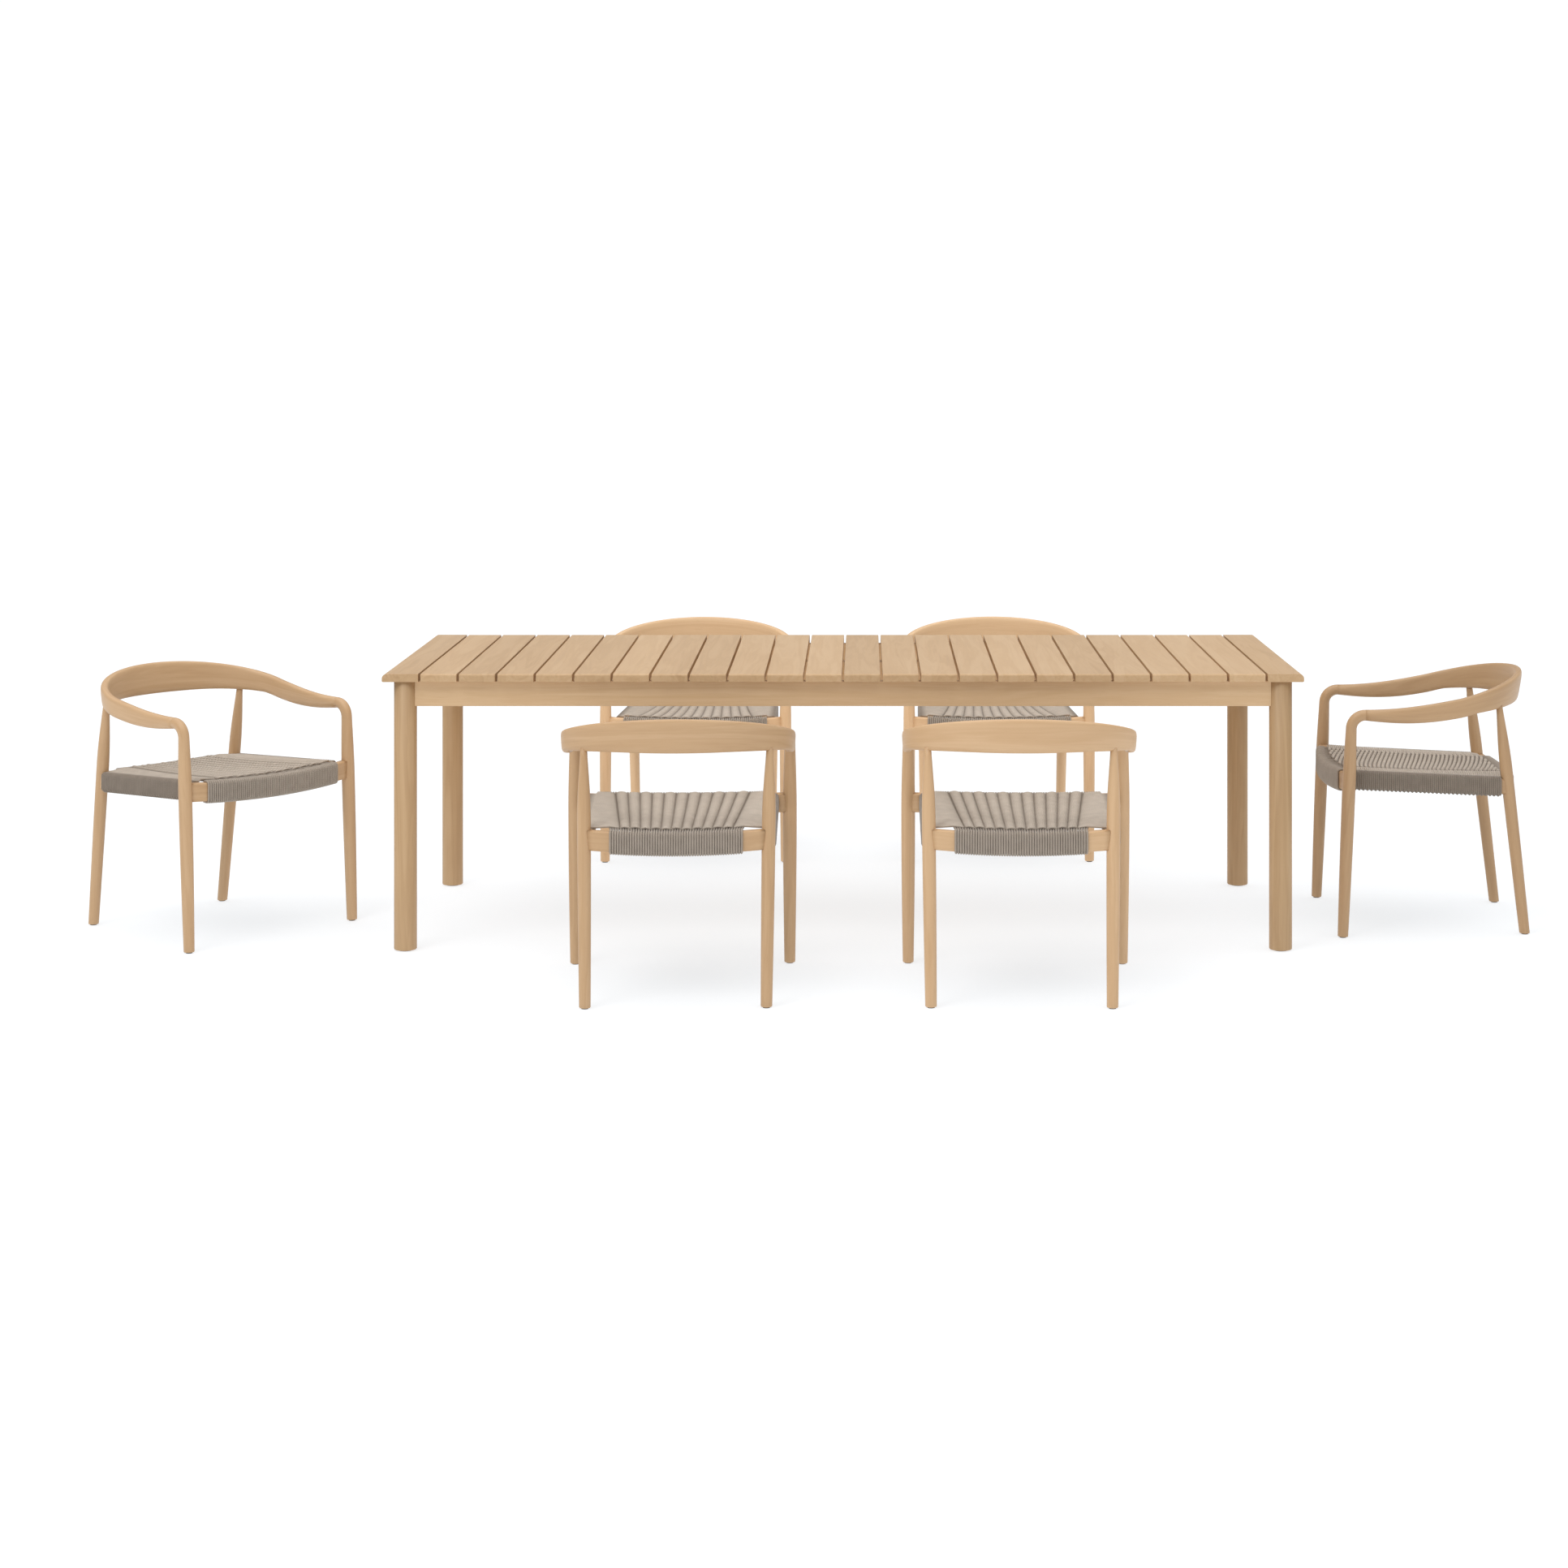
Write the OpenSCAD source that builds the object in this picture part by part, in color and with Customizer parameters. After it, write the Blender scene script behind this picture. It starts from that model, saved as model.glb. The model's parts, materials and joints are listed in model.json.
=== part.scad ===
// Patio dining set: a slatted table and six armchairs with woven cord seats.
// The frame's origin is on the floor, under the middle of the whole set's outline.
// +X runs along the table, +Y runs to its far side and +Z is up. Each chair is built about
// the middle of its four feet, facing +Y, and then turned and placed.

/* [Table] */
// Length of the table top
table_length = 2500; // [2300:10:2700]
// Width of the table top
table_width = 1000; // [900:10:1100]
// Height of the table top above the floor
table_height = 755; // [730:5:780]
// Number of slats across the top (even, so a gap lies in the middle)
slat_count = 24; // [20:2:28]
// Open gap between two slats
slat_gap = 6.5; // [4:0.5:9]
// Thickness of a slat
slat_thickness = 22; // [18:1:28]
// Diameter of a table leg
table_leg_d = 62; // [50:1:75]
// Height of the aprons under the top
apron_height = 68; // [50:1:90]
// Thickness of the aprons
apron_thickness = 30; // [22:1:34]

/* [Chair frame] */
// Distance between the front feet, centre to centre
front_feet_span = 570; // [540:2:600]
// Distance between the back feet, centre to centre
back_feet_span = 452; // [430:2:480]
// Distance from the back feet to the front feet
feet_depth = 514; // [490:2:540]
// Height of the middle of the arm where it leaves the front leg
arm_height = 617; // [600:1:630]
// Height of the top edge of the back band at its middle
back_top = 722; // [700:1:730]
// Height of the bottom edge of the back band at its middle
back_bottom = 635; // [625:1:650]
// Half the width of the arm band, to the middle of its thickness
arm_half_width = 287; // [280:1:295]
// Thickness of the band at the back
band_thickness = 24; // [20:1:28]

/* [Chair seat] */
// Height of the front rail's middle line at the legs
front_rail_z = 432; // [420:1:440]
// Height of the back rail's middle line at the legs
back_rail_z = 413; // [400:1:425]
// Height of a front or back seat rail
rail_height = 51; // [44:1:56]
// Height of a side seat rail
side_rail_height = 42; // [36:1:46]
// Thickness of the seat rails
rail_thickness = 26; // [22:1:28]
// How far the front rail bows forward
front_bow = 30; // [15:1:40]
// How far the back rail bows back
back_bow = 20; // [10:1:30]
// Thickness of one layer of seat cord
cord_layer = 6; // [4:0.5:8]

/* [Chair places] */
// Front left chair: X, Y and turn
front_left_place = [-419, -889, 1.5];
// Front right chair: X, Y and turn
front_right_place = [455, -888, -1.1];
// Back left chair: X, Y and turn
back_left_place = [-476, 1096, 180];
// Back right chair: X, Y and turn
back_right_place = [486, 1106, 180];
// Left end chair: X, Y and turn
left_end_place = [-1785, -121, -129.9];
// Right end chair: X, Y and turn
right_end_place = [1651, -22, 88.6];

/* [Hidden] */
$fn = 48;

// the middle of the table, seen from the middle of the set's outline
table_shift = [99, -109];
cut = 0.01;

// table
slat_pitch = (table_length + slat_gap) / slat_count;
slat_width = slat_pitch - slat_gap;
top_underside = table_height - slat_thickness;
apron_bottom = top_underside - apron_height;
slat_edge_r = 6;
table_end_r = 13;
leg_inset_x = 59;
leg_inset_y = 36;
leg_x = table_length / 2 - leg_inset_x;
leg_y = table_width / 2 - leg_inset_y;
centre_rail_width = 44;
foot_edge_r = 3;
table_glide_r = 20;
glide_h = 2.5;
glide_pin_r = 3;
glide_pin_h = 14;
corner_block_h = 50;
corner_block_reach = 78;
corner_block_t = 26;
corner_block_span = 200;
corner_block_lift = 9;
bolt_r = 4;
bolt_z = apron_bottom + corner_block_lift + corner_block_h / 2;
bolt_into_leg = 24;
bolt_past_block = 14;
nut_r = 7.5;
nut_h = 7;
screw_r = 2.4;
screw_head_r = 4.6;
screw_head_h = 3;
screw_into_slat = 14;
screw_wood = 24;
end_screw_y = [-300, -100, 100, 300];

// chair legs
chair_foot_r = 14.5;
front_leg_r = 18.5;
front_leg_top_r = 15;
back_leg_r = 17.3;
back_leg_top_r = 8.5;
front_x = front_feet_span / 2;
back_x = back_feet_span / 2;
feet_y = feet_depth / 2;
front_lean = 2.3;
back_lean = 6.45;
back_splay = 0.7;
bend_r = 39;
bend_lap = 1;
bend_step = 0.08;
foot_below = 10;
back_leg_in_band = 6;
swell_ease = 1.2;
chair_glide_r = 9;
front_leg_len = (arm_height - bend_r * (1 - sin(front_lean))) / cos(front_lean);
bend_y = feet_y - front_leg_len * sin(front_lean) - bend_r * cos(front_lean);
widest_leg = 0.72;

// arm and back band
band_round_y = -68;
band_depth = 201;
straight_len = bend_y - band_round_y;
curve_len = 90 * PI / 180 * sqrt((pow(arm_half_width, 2) + pow(band_depth, 2)) / 2);
half_band = straight_len + curve_len;
band_lean = 10;
straight_rings = 6;
curve_rings = 15;
band_sides = 12;
arm_dip = 12;
// share of the way to the back where the arm ends its round section, and the band its rise
round_share = 0.3;
rise_share = 0.85;
band_squareness = 0.5;

// seat rails
rail_setback = 4;
rail_y_front = feet_y - front_rail_z * tan(front_lean) - rail_setback;
rail_y_back = -feet_y + back_rail_z * tan(back_lean);
rail_x_back = back_x + back_rail_z * tan(back_splay);
front_dip = 10;
back_dip = 8;
// how far inside the front legs the side rails meet the front rail
side_inset = 48;
side_front_x = front_x - side_inset;
rail_reach = 100;
big = 900;
dowel_r = 5;
dowel_depth = 16;
dowel_step = 9;
// how far a dowel's middle lies past the leg's face, and off the rail's middle line
dowel_past = 2;
dowel_off_front = 2;
dowel_off_back = -1;

// woven seat
front_bare = 60;
back_bare = 50;
side_bare = 22;
weave_drop = 10;
// how far the side cord stops short of the front rail, and how the deck meets the rails
side_front_gap = 8;
deck_front_y = 14;
deck_back_y = 6;
deck_past_side = 4;
deck_sink = 2;

function mid(a, b) = (a + b) / 2;

// ---------- table ----------

// one slat's middle line, counted from the left
function slat_x(i) = (i - (slat_count - 1) / 2) * slat_pitch;

// a board's cross section, w wide and t thick, with its top corners rounded
module eased_board(w, t, r) {
    translate([-w / 2, 0]) square([w, t - r]);
    translate([-w / 2 + r, 0]) square([w - 2 * r, t]);
    for (s = [-1, 1]) translate([s * (w / 2 - r), t - r]) circle(r);
}

module top_slats() {
    color("burlywood")
    intersection() {
        // eased front and back ends
        translate([0, 0, top_underside])
            rotate([90, 0, 90])
            linear_extrude(table_length, center = true)
            eased_board(table_width, slat_thickness, slat_edge_r);
        // rounded table ends
        translate([0, 0, top_underside])
            rotate([90, 0, 0])
            linear_extrude(table_width, center = true)
            eased_board(table_length, slat_thickness, table_end_r);
        difference() {
            union() for (i = [0 : slat_count - 1])
                translate([slat_x(i) - slat_width / 2, -table_width / 2, top_underside])
                cube([slat_width, table_width, slat_thickness]);
            for (y = [-leg_y, 0, leg_y]) slat_screw_row(y);
            for (x = [-leg_x, leg_x]) end_screw_row(x);
        }
    }
}

// a long apron or end apron, coped to the round legs
module long_apron(y) {
    color("tan")
    difference() {
        translate([-leg_x, y - apron_thickness / 2, apron_bottom])
            cube([2 * leg_x, apron_thickness, apron_height]);
        leg_cylinders();
        slat_screw_row(y);
        screw_pockets(y, apron_bottom);
    }
}

module end_apron(x) {
    color("tan")
    difference() {
        translate([x - apron_thickness / 2, -leg_y, apron_bottom])
            cube([apron_thickness, 2 * leg_y, apron_height]);
        leg_cylinders();
        end_screw_row(x);
        for (y = end_screw_y) translate([x, y, 0]) screw_pocket(apron_bottom);
    }
}

// a rail under the middle of the slats, as deep as the aprons
module centre_rail() {
    inner_x = leg_x - apron_thickness / 2;
    color("tan")
    difference() {
        translate([-inner_x, -centre_rail_width / 2, apron_bottom])
            cube([2 * inner_x, centre_rail_width, apron_height]);
        slat_screw_row(0);
        screw_pockets(0, apron_bottom);
    }
}

module leg_cylinders() {
    for (sx = [-1, 1], sy = [-1, 1])
        translate([sx * leg_x, sy * leg_y, 0]) cylinder(h = top_underside, d = table_leg_d);
}

module table_legs() {
    r = table_leg_d / 2;
    color("burlywood")
    difference() {
        for (sx = [-1, 1], sy = [-1, 1])
            translate([sx * leg_x, sy * leg_y, glide_h])
            rotate_extrude() {
                square([r - foot_edge_r, top_underside - glide_h]);
                translate([0, foot_edge_r]) square([r, top_underside - glide_h - foot_edge_r]);
                translate([r - foot_edge_r, foot_edge_r]) circle(foot_edge_r);
            }
        bolt_shanks();
        glide_pins_table();
    }
}

// turns and moves a child from the first corner (+X, +Y) to all four
module at_corners() {
    for (sx = [-1, 1], sy = [-1, 1])
        translate([sx * leg_x, sy * leg_y, 0])
        rotate(atan2(-sy, -sx))
        children();
}

module corner_blocks() {
    color("peru")
    difference() {
        intersection() {
            at_corners()
                translate([corner_block_reach - corner_block_t, -corner_block_span / 2,
                    apron_bottom + corner_block_lift])
                cube([corner_block_t, corner_block_span, corner_block_h]);
            inside = [leg_x - apron_thickness / 2, leg_y - apron_thickness / 2];
            translate([-inside[0], -inside[1], 0])
                cube([2 * inside[0], 2 * inside[1], table_height]);
        }
        bolt_shanks();
    }
}

module bolt_shanks() {
    at_corners()
        translate([table_leg_d / 2 - bolt_into_leg, 0, bolt_z])
        rotate([0, 90, 0])
        cylinder(h = corner_block_reach + bolt_past_block - table_leg_d / 2 + bolt_into_leg, r = bolt_r);
}

// hanger bolts, each with its washer and nut drawn as one fastener
module leg_bolts() {
    color("silver") {
        bolt_shanks();
        at_corners()
            translate([corner_block_reach, 0, bolt_z])
            rotate([0, 90, 0])
            cylinder(h = nut_h, r = nut_r, $fn = 6);
    }
}

// each inner slat is screwed from the long aprons and the centre rail,
// and each end slat from the end apron under it
module slat_screw_row(y) {
    for (i = [1 : slat_count - 2]) translate([slat_x(i), y, 0]) slat_screw_shank();
}

module end_screw_row(x) {
    for (y = end_screw_y) translate([x, y, 0]) slat_screw_shank();
}

module slat_screw_shank() {
    translate([0, 0, top_underside - screw_wood])
        cylinder(h = screw_wood + screw_into_slat, r = screw_r, $fn = 24);
}

// the counterbore that a screw's head goes up into
module screw_pocket(bottom) {
    translate([0, 0, bottom - cut])
        cylinder(h = top_underside - screw_wood - bottom + cut, r = screw_head_r, $fn = 24);
}

module screw_pockets(y, bottom) {
    for (i = [1 : slat_count - 2]) translate([slat_x(i), y, 0]) screw_pocket(bottom);
}

module slat_screw() {
    slat_screw_shank();
    translate([0, 0, top_underside - screw_wood - screw_head_h])
        cylinder(h = screw_head_h, r = screw_head_r, $fn = 24);
}

module slat_screws() {
    color("silver") {
        for (y = [-leg_y, 0, leg_y], i = [1 : slat_count - 2])
            translate([slat_x(i), y, 0]) slat_screw();
        for (x = [-leg_x, leg_x], y = end_screw_y)
            translate([x, y, 0]) slat_screw();
    }
}

module glide(r) {
    cylinder(h = glide_h, r = r);
    cylinder(h = glide_h + glide_pin_h, r = glide_pin_r);
}

module glide_pins_table() {
    for (sx = [-1, 1], sy = [-1, 1])
        translate([sx * leg_x, sy * leg_y, 0]) cylinder(h = glide_h + glide_pin_h, r = glide_pin_r);
}

module table_glides() {
    color("dimgray")
    for (sx = [-1, 1], sy = [-1, 1])
        translate([sx * leg_x, sy * leg_y, 0]) glide(table_glide_r);
}

// ---------- chair, about the middle of its feet, facing +Y ----------

// a leg's half outline: a foot, a swell at seat height and a slimmer top
function swell(t, foot, belly, top) =
    t < widest_leg
        ? foot + (belly - foot) * sin(90 * t / widest_leg)
        : top + (belly - top) * pow(cos(90 * (t - widest_leg) / (1 - widest_leg)), swell_ease);

module leg_turning(len, foot, belly, top, steps = 10) {
    rotate_extrude()
        polygon(concat(
            [[0, -foot_below], [foot, -foot_below]],
            [for (i = [0 : steps]) [swell(i / steps, foot, belly, top), len * i / steps]],
            [[0, len]]));
}

// the turned leg reaches a little way into the bend, which is a hair thicker
module front_leg_at(s) {
    translate([s * front_x, feet_y, 0])
        rotate([front_lean, 0, 0])
        leg_turning(front_leg_len + bend_lap, chair_foot_r, front_leg_r, front_leg_top_r - bend_step);
}

module arm_bend_at(s) {
    translate([s * front_x, bend_y, arm_height - bend_r])
        rotate([90, 0, 90])
        rotate([0, 0, front_lean])
        rotate_extrude(angle = 90 - front_lean)
        translate([bend_r, 0]) circle(front_leg_top_r);
}

module back_leg_at(s) {
    translate([s * back_x, -feet_y, 0])
        rotate([-back_lean, s * back_splay, 0])
        leg_turning(back_bottom + back_leg_in_band, chair_foot_r, back_leg_r, back_leg_top_r);
}

module below_feet() {
    translate([-big, -big, glide_h - big]) cube([2 * big, 2 * big, big]);
}

module chair_front_legs() {
    color("burlywood")
    difference() {
        for (s = [-1, 1]) union() {
            front_leg_at(s);
            arm_bend_at(s);
        }
        below_feet();
        chair_dowel_shapes();
        chair_glide_pins();
    }
}

module chair_back_legs() {
    color("burlywood")
    difference() {
        for (s = [-1, 1]) back_leg_at(s);
        below_feet();
        chair_arm_band_shape();
        chair_dowel_shapes();
        chair_glide_pins();
    }
}

// the band's middle line in plan: straight arms, then half of an ellipse round the back
function band_count() = 2 * (straight_rings + curve_rings);
function band_u(i) = abs(abs(i - band_count() / 2) / (band_count() / 2) - 1);
function band_on_arm(i) = min(i, band_count() - i) < straight_rings;
function band_arm_step(i) = min(i, band_count() - i) / straight_rings;
function band_turn(i) = 90 * (min(i, band_count() - i) - straight_rings) / curve_rings;
function band_side(i) = i <= band_count() / 2 ? 1 : -1;
function band_middle(i) = band_on_arm(i)
    ? [band_side(i) * (front_x + (arm_half_width - front_x) * band_arm_step(i)),
       bend_y - straight_len * band_arm_step(i)]
    : [band_side(i) * arm_half_width * cos(band_turn(i)), band_round_y - band_depth * sin(band_turn(i))];
// outward direction in plan
function band_out(i) = band_on_arm(i)
    ? [band_side(i), 0]
    : unit([band_side(i) * cos(band_turn(i)) / arm_half_width, -sin(band_turn(i)) / band_depth]);
function unit(v) = v / norm(v);
// way along the half band, 0 at the front leg and 1 at the middle of the back
function band_way(i) = band_on_arm(i)
    ? band_arm_step(i) * straight_len / half_band
    : (straight_len + curve_len * band_turn(i) / 90) / half_band;
function band_top(u) = arm_height + front_leg_top_r
    + (back_top - arm_height - front_leg_top_r) * pow(sin(90 * u), 2);
function band_bottom(u) = arm_height - front_leg_top_r
    + (back_bottom - arm_height + front_leg_top_r) * pow(sin(90 * min(1, u / rise_share)), 2)
    - arm_dip * (u < 0.5 ? sin(360 * u) : 0);
function band_half_t(u) = band_thickness / 2
    + (front_leg_top_r - band_thickness / 2) * pow(max(0, 1 - u / round_share), 2);
// a section point: sides bulge from a circle to a soft rectangle
function soft(c, e) = sign(c) * pow(abs(c), e);
function band_point(i, k) =
    let (u = band_way(i), a = 360 * k / band_sides, e = 1 - band_squareness * min(1, u / round_share),
         h = (band_top(u) - band_bottom(u)) / 2, zc = mid(band_top(u), band_bottom(u)),
         w = band_half_t(u) * soft(cos(a), e), z = h * soft(sin(a), e),
         out = w + z * tan(band_lean) * pow(sin(90 * u), 2),
         p = band_middle(i) + band_out(i) * out)
    [p[0], p[1], zc + z];

module chair_arm_band_shape() {
    n = band_count();
    ring = band_sides;
    points = [for (i = [0 : n], k = [0 : ring - 1]) band_point(i, k)];
    quads = [for (i = [0 : n - 1], k = [0 : ring - 1])
        let (a = i * ring + k, b = i * ring + (k + 1) % ring)
        [a, b, b + ring, a + ring]];
    polyhedron(points, concat(
        [[for (k = [ring - 1 : -1 : 0]) k]],
        [[for (k = [0 : ring - 1]) n * ring + k]],
        [for (q = quads) [q[0], q[1], q[2]]],
        [for (q = quads) [q[0], q[2], q[3]]]), convexity = 6);
}

module chair_arm_band() {
    color("burlywood") chair_arm_band_shape();
}

// a rail that bows out in plan and dips in its middle, with its ends at y = 0 and z = 0
module bowed_rail(half_span, bow, dip, height, thickness) {
    plan_r = (half_span * half_span + bow * bow) / (2 * bow);
    side_r = (half_span * half_span + dip * dip) / (2 * dip);
    intersection() {
        translate([0, bow - plan_r, -rail_reach])
            linear_extrude(2 * rail_reach) difference() {
                circle(plan_r + thickness / 2, $fn = 360);
                circle(plan_r - thickness / 2, $fn = 360);
            }
        translate([0, rail_reach, side_r - dip])
            rotate([90, 0, 0])
            linear_extrude(2 * rail_reach) difference() {
                circle(side_r + height / 2, $fn = 720);
                circle(side_r - height / 2, $fn = 720);
            }
        translate([-half_span, -rail_reach, -rail_reach])
            cube([2 * half_span, 2 * rail_reach, 2 * rail_reach]);
    }
}

// grow thickens the rail all round, for the cord that is wound on it
module front_rail_shape(grow = 0, short = 0) {
    translate([0, rail_y_front, front_rail_z])
    intersection() {
        bowed_rail(front_x, front_bow, front_dip, rail_height + 2 * grow, rail_thickness + 2 * grow);
        translate([-front_x + short, -rail_reach, -rail_reach])
            cube([2 * (front_x - short), 2 * rail_reach, 2 * rail_reach]);
    }
}

module back_rail_shape(grow = 0, short = 0) {
    translate([0, rail_y_back, back_rail_z])
    intersection() {
        mirror([0, 1, 0])
            bowed_rail(rail_x_back, back_bow, back_dip, rail_height + 2 * grow, rail_thickness + 2 * grow);
        translate([-rail_x_back + short, -rail_reach, -rail_reach])
            cube([2 * (rail_x_back - short), 2 * rail_reach, 2 * rail_reach]);
    }
}

// the line of a side rail, from the back leg to the front rail
side_run = [side_front_x - rail_x_back, rail_y_front - rail_y_back, front_rail_z - back_rail_z];
side_len = norm(side_run);
side_yaw = atan2(side_run[0], side_run[1]);
side_pitch = asin(side_run[2] / side_len);

module along_side(s) {
    translate([s * rail_x_back, rail_y_back, back_rail_z])
        rotate([side_pitch, 0, -s * side_yaw])
        children();
}

module side_rail_shape(s, grow = 0, bare = 0) {
    along_side(s)
        translate([-rail_thickness / 2 - grow, bare, -side_rail_height / 2 - grow])
        cube([rail_thickness + 2 * grow, side_len - bare, side_rail_height + 2 * grow]);
}

module chair_all_legs() {
    for (s = [-1, 1]) {
        front_leg_at(s);
        back_leg_at(s);
    }
}

module chair_cross_rails() {
    color("tan")
    difference() {
        union() {
            front_rail_shape();
            back_rail_shape();
        }
        chair_all_legs();
        chair_dowel_shapes();
    }
}

module chair_side_rails() {
    color("tan")
    difference() {
        for (s = [-1, 1]) side_rail_shape(s);
        chair_all_legs();
        front_rail_shape();
        back_rail_shape();
        chair_dowel_shapes();
    }
}

// a dowel pins each end of each rail to its leg, or to the front rail at a side rail's front end
module chair_dowel_shapes() {
    butt_y = side_len + front_bow * (1 - pow(side_front_x / front_x, 2)) - rail_thickness / 2;
    for (s = [-1, 1]) {
        translate([s * (front_x - front_leg_r + dowel_past), rail_y_front + dowel_off_front,
                front_rail_z + dowel_step])
            rotate([0, 90, 0]) cylinder(h = 2 * dowel_depth, r = dowel_r, center = true);
        translate([s * (rail_x_back - back_leg_r + dowel_past), rail_y_back + dowel_off_back,
                back_rail_z + dowel_step])
            rotate([0, 90, 0]) cylinder(h = 2 * dowel_depth, r = dowel_r, center = true);
        along_side(s) {
            translate([0, butt_y, -dowel_step])
                rotate([90, 0, 0]) cylinder(h = 2 * dowel_depth, r = dowel_r, center = true);
            translate([0, back_leg_r - dowel_past, -dowel_step])
                rotate([90, 0, 0]) cylinder(h = 2 * dowel_depth, r = dowel_r, center = true);
        }
    }
}

module chair_dowels() {
    color("peru") chair_dowel_shapes();
}

// the woven deck: its outline in plan, thinned to two cord layers that dip across the seat
module seat_deck() {
    dip_r = (front_x * front_x + weave_drop * weave_drop) / (2 * weave_drop);
    tilt = atan((front_rail_z - back_rail_z) / (rail_y_front - rail_y_back));
    intersection() {
        linear_extrude(big) polygon([
            [front_x - front_bare, rail_y_front + deck_front_y],
            [0, rail_y_front + front_bow],
            [-front_x + front_bare, rail_y_front + deck_front_y],
            [-side_front_x - deck_past_side, rail_y_front - side_front_gap],
            [-rail_x_back - deck_past_side, rail_y_back + side_bare],
            [-rail_x_back + back_bare, rail_y_back - deck_back_y],
            [0, rail_y_back - back_bow],
            [rail_x_back - back_bare, rail_y_back - deck_back_y],
            [rail_x_back + deck_past_side, rail_y_back + side_bare],
            [side_front_x + deck_past_side, rail_y_front - side_front_gap]]);
        translate([0, rail_y_back, back_rail_z + rail_height / 2 - deck_sink])
            rotate([tilt, 0, 0])
            translate([0, big, dip_r - weave_drop])
            rotate([90, 0, 0])
            linear_extrude(2 * big) difference() {
                circle(dip_r + cord_layer, $fn = 720);
                circle(dip_r - cord_layer, $fn = 720);
            }
    }
}

module chair_seat_cord() {
    color("darkgray")
    difference() {
        union() {
            seat_deck();
            front_rail_shape(cord_layer, front_bare);
            back_rail_shape(cord_layer, back_bare);
            for (s = [-1, 1]) intersection() {
                side_rail_shape(s, cord_layer, side_bare);
                translate([-big, rail_y_back - big, 0])
                    cube([2 * big, big + side_len - side_front_gap, big]);
            }
        }
        front_rail_shape();
        back_rail_shape();
        for (s = [-1, 1]) side_rail_shape(s);
        chair_all_legs();
        chair_dowel_shapes();
    }
}

module chair_feet() {
    for (s = [-1, 1]) {
        translate([s * front_x, feet_y, 0]) children();
        translate([s * back_x, -feet_y, 0]) children();
    }
}

module chair_glide_pins() {
    chair_feet() cylinder(h = glide_h + glide_pin_h, r = glide_pin_r);
}

module chair_glides() {
    color("dimgray") chair_feet() glide(chair_glide_r);
}

// ---------- placing ----------

module on_table() {
    translate([table_shift[0], table_shift[1], 0]) children();
}

module chair_at(place) {
    on_table() translate([place[0], place[1], 0]) rotate(place[2]) children();
}

// draws one named piece of a chair
module chair_piece(piece, place) {
    chair_at(place) {
        if (piece == "arm_band") chair_arm_band();
        if (piece == "front_legs") chair_front_legs();
        if (piece == "back_legs") chair_back_legs();
        if (piece == "cross_rails") chair_cross_rails();
        if (piece == "side_rails") chair_side_rails();
        if (piece == "seat_cord") chair_seat_cord();
        if (piece == "dowels") chair_dowels();
        if (piece == "glides") chair_glides();
    }
}

chair_pieces = ["arm_band", "front_legs", "back_legs", "cross_rails", "side_rails",
    "seat_cord", "dowels", "glides"];
chairs = [
    ["front_left", front_left_place], ["front_right", front_right_place],
    ["back_left", back_left_place], ["back_right", back_right_place],
    ["left_end", left_end_place], ["right_end", right_end_place]
];

on_table() top_slats();
on_table() long_apron(-leg_y);  // front_apron
on_table() long_apron(leg_y);  // back_apron
on_table() end_apron(-leg_x);  // left_apron
on_table() end_apron(leg_x);  // right_apron
on_table() centre_rail();
on_table() table_legs();
on_table() corner_blocks();
on_table() leg_bolts();
on_table() slat_screws();
on_table() table_glides();
for (chair = chairs, piece = chair_pieces)
    chair_piece(piece, chair[1]);
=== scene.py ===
import bpy
import bmesh
import json
import math
import random
from mathutils import Matrix, Vector


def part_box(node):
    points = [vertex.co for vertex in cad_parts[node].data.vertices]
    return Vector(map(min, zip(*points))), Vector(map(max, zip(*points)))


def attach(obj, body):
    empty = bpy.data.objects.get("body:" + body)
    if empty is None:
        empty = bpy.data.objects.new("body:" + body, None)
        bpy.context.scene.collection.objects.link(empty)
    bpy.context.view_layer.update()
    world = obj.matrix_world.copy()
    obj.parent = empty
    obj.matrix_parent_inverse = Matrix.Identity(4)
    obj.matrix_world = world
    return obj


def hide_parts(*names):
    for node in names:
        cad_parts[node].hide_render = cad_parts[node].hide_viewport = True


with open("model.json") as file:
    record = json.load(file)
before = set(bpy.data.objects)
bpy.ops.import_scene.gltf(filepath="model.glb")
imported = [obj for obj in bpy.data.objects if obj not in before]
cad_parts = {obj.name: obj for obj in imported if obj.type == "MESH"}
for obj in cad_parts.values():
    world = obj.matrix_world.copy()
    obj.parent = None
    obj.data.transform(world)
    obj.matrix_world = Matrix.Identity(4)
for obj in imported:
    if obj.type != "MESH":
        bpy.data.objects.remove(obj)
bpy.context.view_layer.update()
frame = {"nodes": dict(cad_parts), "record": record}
print("frame loaded")

scene = bpy.context.scene
mm = 0.001

cameraSettings = {"fromTable": (0.0545, -8.5242, 1.716), "lens": 67.98, "shift": (-0.0504, -0.2963)}


def middleOf(node):
    low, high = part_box(node)
    return (Vector(low) + Vector(high)) / 2


tableMiddle = middleOf("top_slats")


def makeCamera(settings):
    data = bpy.data.cameras.new("camera")
    data.lens = settings["lens"]
    data.sensor_width = 36
    data.shift_x, data.shift_y = settings["shift"]
    camera = bpy.data.objects.new("camera", data)
    scene.collection.objects.link(camera)
    offset = Vector(settings["fromTable"])
    camera.location = (tableMiddle.x + offset.x, tableMiddle.y + offset.y, offset.z)
    camera.rotation_euler = (math.radians(90), 0, 0)
    scene.camera = camera


makeCamera(cameraSettings)


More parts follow.
